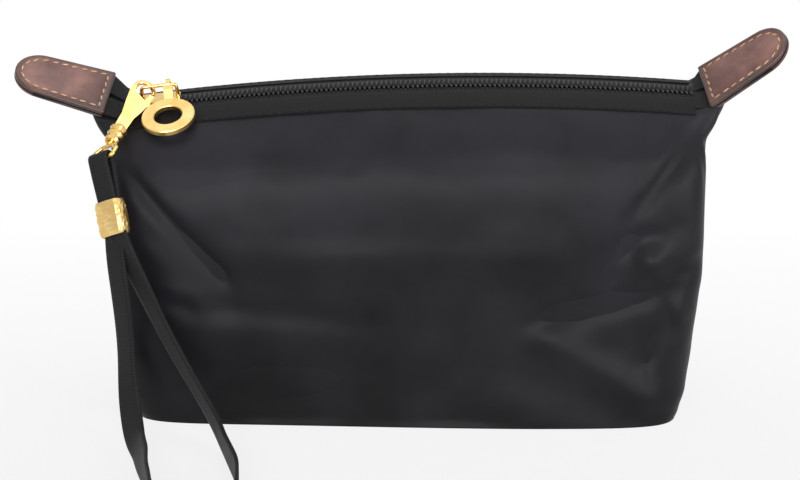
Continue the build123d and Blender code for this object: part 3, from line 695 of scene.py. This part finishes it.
def makeTeeth(name, side, node, s):
    bm = bmesh.new()
    count = int((s["to"] - s["from"]) / s["pitch"])
    mid, half = (s["outer"] + s["inner"]) / 2, (s["outer"] - s["inner"]) / 2
    for i in range(count):
        x = s["from"] + s["pitch"] * (i + (0.25 if side > 0 else 0.75))
        for v in addBall(bm, 8, 6):
            a, b, c = v.co
            w = mid + half * powered(b, 0.6)
            swell = 0.72 + 0.62 * smooth(0.9, 2.5, w)  # each turn is fat at its outer end
            h = s["height"] + s["rise"] * smooth(0.9, 2.4, w) + c * s["deep"] * swell
            v.co = onZip(x + a * s["thick"] * swell + s["slant"] * w, side * w, h) * mm
    piece = finishPiece(bm, name, mats["coil"], "pouch")
    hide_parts(node)


makeTeeth("zipTeethFront", -1, "front_coil", teethSet)
makeTeeth("zipTeethBack", 1, "back_coil", teethSet)
print("zip teeth made")

tabSet = {"length": 32.0, "half": 10.0, "tipHalf": 8.9, "tip": 9.5, "gap": 0.25, "tipSteps": 16,
          "around": 120, "core": (10.0, 22.0), "fullInset": 10.4,
          "seam": 2.2, "fine": 400, "pitch": 3.2, "stitch": 1.2, "thread": 0.34, "stitchDeep": 0.30,
          # lowSide tilts the painted shade on each tab towards its lower side
          "stitchHeight": 1.16, "lowSide": {"left": -0.45, "right": 0.45},
          # how far in from the edge, and the height there: rolled at the edge, sunk at the stitches
          "section": [(0.0, 0.45), (0.04, 0.85), (0.22, 1.14), (0.6, 1.28), (1.2, 1.27), (1.75, 1.14),
                      (2.2, 1.06), (2.65, 1.16), (3.4, 1.32), (5.0, 1.42), (7.2, 1.47), (9.0, 1.48)],
          # the inner end's middle, the way out to the tip, and the way up from the face
          "left": ((-99.0, 1.0, 104.0), (-0.961262, 0.0, 0.275637), (0.241078, -0.48481, 0.840738)),
          "right": ((97.6, 0.0, 106.3), (0.784986, -0.195719, 0.587785), (-0.607395, -0.429893, 0.66803))}


def tabOutline(inset, count):
    half, tipHalf = tabSet["half"] - inset, tabSet["tipHalf"] - inset
    tip = tabSet["length"] - inset
    shoulder = tip - tabSet["tip"] + inset / 2
    rise = tip - shoulder
    points = [(inset, -half), (shoulder, -tipHalf)]
    for k in range(1, tabSet["tipSteps"]):
        a = -pi / 2 + pi * k / tabSet["tipSteps"]
        points.append((shoulder + rise * cos(a), tipHalf * sin(a)))
    points += [(shoulder, tipHalf), (inset, half), (inset, -half)]
    return evenly(points, [(i + 0.5) / count for i in range(count)])


def tabAxes(side):
    origin, out, up = [Vector(v) for v in tabSet[side]]
    return origin, out, up.cross(out), up


def onTab(side, layer, x, y, z):  # out to the tip, across, and out of the face; layer -1 is underneath
    origin, out, level, up = tabAxes(side)
    return origin + out * x + level * y + up * layer * (tabSet["gap"] + z)


def makeTab(name, side, layer, node):
    bm = bmesh.new()
    depth = bm.verts.layers.float.new("inset")
    outline, _ = tabOutline(0.0, tabSet["around"])
    bmesh.ops.create_circle(bm, cap_ends=False, segments=tabSet["around"], radius=1)
    ring = sorted(bm.verts, key=lambda v: atan2(v.co.y, v.co.x) % (2 * pi))
    for v, (x, y) in zip(ring, outline):
        v.co = Vector((x, y, 0))
    edges = list(bm.edges)
    for inset, height in tabSet["section"]:
        grown = bmesh.ops.extrude_edge_only(bm, edges=edges)["geom"]
        edges = [e for e in grown if isinstance(e, bmesh.types.BMEdge)]
        for v in grown:
            if isinstance(v, bmesh.types.BMVert):
                v.co.z = height
                v[depth] = inset
    for v in bm.verts:
        low, high = tabSet["core"]
        core = Vector((min(max(v.co.x, low), high), 0, 0))
        flat = Vector((v.co.x, v.co.y, 0)) - core
        shrink = max(0.0, 1 - v[depth] / min(flat.length, tabSet["fullInset"]))
        v.co = core + flat * shrink + Vector((0, 0, v.co.z))
        v.co.z += noise.noise(Vector((v.co.x / 6, v.co.y / 6, 3.0 * layer))) * 0.10 * smooth(0.3, 3, v[depth])
    bmesh.ops.contextual_create(bm, geom=edges)
    bmesh.ops.recalc_face_normals(bm, faces=bm.faces)
    # darker on the cut edge; painted shade towards the inner, lower end and painted sheen towards the tip
    edgeAndPaintedLight = bm.verts.layers.float.new("edgeAndPaintedLight")
    for v in bm.verts:
        face = smooth(0.0, 2.6, v[depth])
        inner = smooth(2.0, 14.0, v.co.x + v.co.y * tabSet["lowSide"][side])
        v[edgeAndPaintedLight] = face * (0.5 + 0.5 * inner)
    for v in bm.verts:
        v.co = onTab(side, layer, *v.co) * mm
    piece = finishPiece(bm, name, mats["leather"], "pouch")
    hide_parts(node)


def makeThread(name, side, node):
    bm = bmesh.new()
    fine = tabSet["fine"]
    places, total = tabOutline(tabSet["seam"], fine)
    count = round(total / tabSet["pitch"])
    slant = Quaternion((0, 0, 1), radians(9)) @ Quaternion((0, 1, 0), radians(4))
    stitch = (tabSet["stitch"], tabSet["thread"], tabSet["stitchDeep"])
    for layer in (1, -1):
        for i in range(count):
            k = int(fine * (i + 0.5) / count)
            (ax, ay), (bx, by) = places[k - 1], places[(k + 1) % fine]
            turn = Vector((bx - ax, by - ay, 0)).normalized().to_track_quat("X", "Z") @ slant
            for v in addBall(bm, 8, 6):
                q = turn @ Vector([c * size for c, size in zip(v.co, stitch)])
                x, y, z = places[k][0] + q.x, places[k][1] + q.y, tabSet["stitchHeight"] + q.z
                v.co = onTab(side, layer, x, y, z) * mm
    piece = finishPiece(bm, name, mats["thread"], "pouch")
    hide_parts(node)


for side in ("left", "right"):
    makeTab(side + "TabTop", side, 1, side + "_tab_top")
    makeTab(side + "TabUnder", side, -1, side + "_tab_underside")
    makeThread(side + "TabThread", side, side + "_tab_stitches")
print("tabs made")

# cloth gathered between the tabs and the zip's ends
gatherSet = {"left": {"zip": -87.5, "back": -1, "in": 1, "seed": 3.0},
             "right": {"zip": 91.0, "back": 1, "in": -1, "seed": 8.0},
             "rows": 16, "columns": 30, "wide": 13.9, "tabShare": 0.70, "fromTab": 2.2, "under": 2.1,
             "sink": 1.3, "skirt": 7.0, "sag": 0.06, "splay": 0.12, "pullIn": 0.9, "pleat": 0.9,
             "pleatPitch": 2.1, "wall": 0.7}


def makeGather(name, side, s):
    origin, out, level, up = tabAxes(side)
    place = s[side]
    bm = bmesh.new()
    bmesh.ops.create_grid(bm, x_segments=s["rows"], y_segments=s["columns"], size=1)
    for v in bm.verts:
        t = (v.co.x + 1) / 2
        run = v.co.y * (s["wide"] + s["skirt"])
        w = max(-s["wide"], min(s["wide"], run))
        down = (abs(run) - abs(w)) * (0.25 + 0.75 * smooth(0.15, 0.8, t))  # the skirt is short at the tab
        atTab = origin + out * s["fromTab"] + level * place["back"] * w * s["tabShare"] - up * s["under"]
        atPouch = onZip(place["zip"], w, foldHeight(w) - s["sink"])
        p = atTab.lerp(atPouch, t)
        pleat = noise.noise(Vector((w / s["pleatPitch"], t * 1.4, place["seed"]))) * s["pleat"]
        p.z += pleat * (1 - t) ** 0.5 * smooth(0, 0.25, t) - down - s["sag"] * down * down * (1 - t)
        p.y += (1 if w > 0 else -1) * down * s["splay"]
        p.x += place["in"] * s["pullIn"] * down * (1 - t)
        v.co = p * mm
    piece = finishPiece(bm, name, mats["cloth"], "pouch")
    wall = piece.modifiers.new("wall", "SOLIDIFY")
    wall.thickness = s["wall"] * mm
    wall.offset = 0
    sub = piece.modifiers.new("smooth", "SUBSURF")
    sub.levels = sub.render_levels = 1


makeGather("leftGather", "left", gatherSet)
makeGather("rightGather", "right", gatherSet)
print("gathers made")

seamSet = {"from": -86, "run": 176, "pitch": 3.0, "stitch": 1.05, "thread": 0.2, "deep": 0.16,
           "place": 12.5, "height": 0.62}


def makeSeam(name, side, s):
    bm = bmesh.new()
    for i in range(int(s["run"] / s["pitch"])):
        x = s["from"] + s["pitch"] * i
        for v in addBall(bm, 8, 5):
            w = side * (s["place"] + v.co.y * s["thread"])
            h = foldHeight(w) + s["height"] + v.co.z * s["deep"]
            v.co = onZip(x + v.co.x * s["stitch"], w, h) * mm
    finishPiece(bm, name, mats["web"], "pouch")


makeSeam("seamFront", -1, seamSet)
makeSeam("seamBack", 1, seamSet)
print("seams made")

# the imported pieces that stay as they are
nodeMats = {"front_tape": "tape", "back_tape": "tape", "front_band": "band", "back_band": "band",
            "lining": "cloth", "slider_body": "bright", "pull_ring": "gold", "clasp_hook": "bright",
            "clasp_trigger": "bright", "trigger_pin": "bright", "swivel_eye": "bright"}
for node, mat in nodeMats.items():
    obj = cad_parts[node]
    if not obj.material_slots:
        obj.data.materials.append(mats[mat])
    for slot in obj.material_slots:
        slot.material = mats[mat]

# metres and watts; each lamp has its place, size and power
lightSet = {"floor": (0.60, 0.602, 0.606), "floorHalf": 6, "fade": (-0.25, 0.20), "fadeLow": 0.66,
            "diffuse": 0.42, "above": 1.0, "below": 0.25, "aim": (0, 0, 0.05), "lamps": [
                ("key", (-0.15, -1.05, 0.47), (1.0, 0.35), 8.6),
                ("fill", (0.85, -0.75, 0.42), (0.4, 0.5), 6.0),
                ("top", (0.05, 0.1, 1.1), (1.0, 0.5), 1.7)]}


def areaLight(name, place, target, size, power):
    lamp = bpy.data.lights.new(name, "AREA")
    lamp.shape = "RECTANGLE"
    lamp.size, lamp.size_y = size
    lamp.energy = power
    obj = bpy.data.objects.new(name, lamp)
    bpy.context.collection.objects.link(obj)
    obj.location = place
    obj.rotation_euler = (Vector(place) - Vector(target)).to_track_quat("Z", "Y").to_euler()


def makeFloor(s):
    bm = bmesh.new()
    bmesh.ops.create_grid(bm, x_segments=4, y_segments=4, size=s["floorHalf"])
    mesh = bpy.data.meshes.new("floor")
    bm.to_mesh(mesh)
    bm.free()
    floor = bpy.data.objects.new("floor", mesh)
    bpy.context.collection.objects.link(floor)
    mat, tree, shader = newMaterial("paleFloor", s["floor"], 0.6, Specular_IOR_Level=0.2)
    # the floor fades to a plain white background behind the pouch
    white = tree.nodes.new("ShaderNodeEmission")
    mix = tree.nodes.new("ShaderNodeMixShader")
    split = tree.nodes.new("ShaderNodeSeparateXYZ")
    fade = tree.nodes.new("ShaderNodeMapRange")
    fade.inputs["From Min"].default_value, fade.inputs["From Max"].default_value = s["fade"]
    fade.inputs["To Min"].default_value = s["fadeLow"]
    path = tree.nodes.new("ShaderNodeLightPath")
    tree.links.new(coords(tree), split.inputs[0])
    tree.links.new(split.outputs["Y"], fade.inputs["Value"])
    seen = mathNode(tree, "MAXIMUM", path.outputs["Is Camera Ray"], path.outputs["Is Glossy Ray"])
    tree.links.new(mathNode(tree, "MULTIPLY", fade.outputs["Result"], seen), mix.inputs[0])
    tree.links.new(shader.outputs[0], mix.inputs[1])
    tree.links.new(white.outputs[0], mix.inputs[2])
    tree.links.new(mix.outputs[0], tree.nodes["Material Output"].inputs["Surface"])
    mesh.materials.append(mat)


def makeWorld(s):
    world = bpy.data.worlds.new("studio")
    bpy.context.scene.world = world
    world.use_nodes = True
    tree = world.node_tree
    back = tree.nodes["Background"]
    path = tree.nodes.new("ShaderNodeLightPath")
    tc = tree.nodes.new("ShaderNodeTexCoord")
    split = tree.nodes.new("ShaderNodeSeparateXYZ")
    tree.links.new(tc.outputs["Generated"], split.inputs[0])
    room = tree.nodes.new("ShaderNodeMapRange")  # paler above than below, for the metal to show
    room.inputs["From Min"].default_value = -0.6
    room.inputs["From Max"].default_value = 0.7
    room.inputs["To Min"].default_value = s["below"]
    room.inputs["To Max"].default_value = s["above"]
    tree.links.new(split.outputs["Z"], room.inputs["Value"])
    glossy = mathNode(tree, "MULTIPLY", room.outputs["Result"], path.outputs["Is Glossy Ray"])
    direct = mathNode(tree, "MAXIMUM", glossy, path.outputs["Is Camera Ray"])
    tree.links.new(mathNode(tree, "MAXIMUM", direct, s["diffuse"]), back.inputs["Strength"])
    back.inputs["Color"].default_value = (1, 1, 1, 1)


makeFloor(lightSet)
makeWorld(lightSet)
for name, place, size, power in lightSet["lamps"]:
    areaLight(name, place, lightSet["aim"], size, power)
bpy.context.scene.view_settings.view_transform = "Standard"
print("stage set")
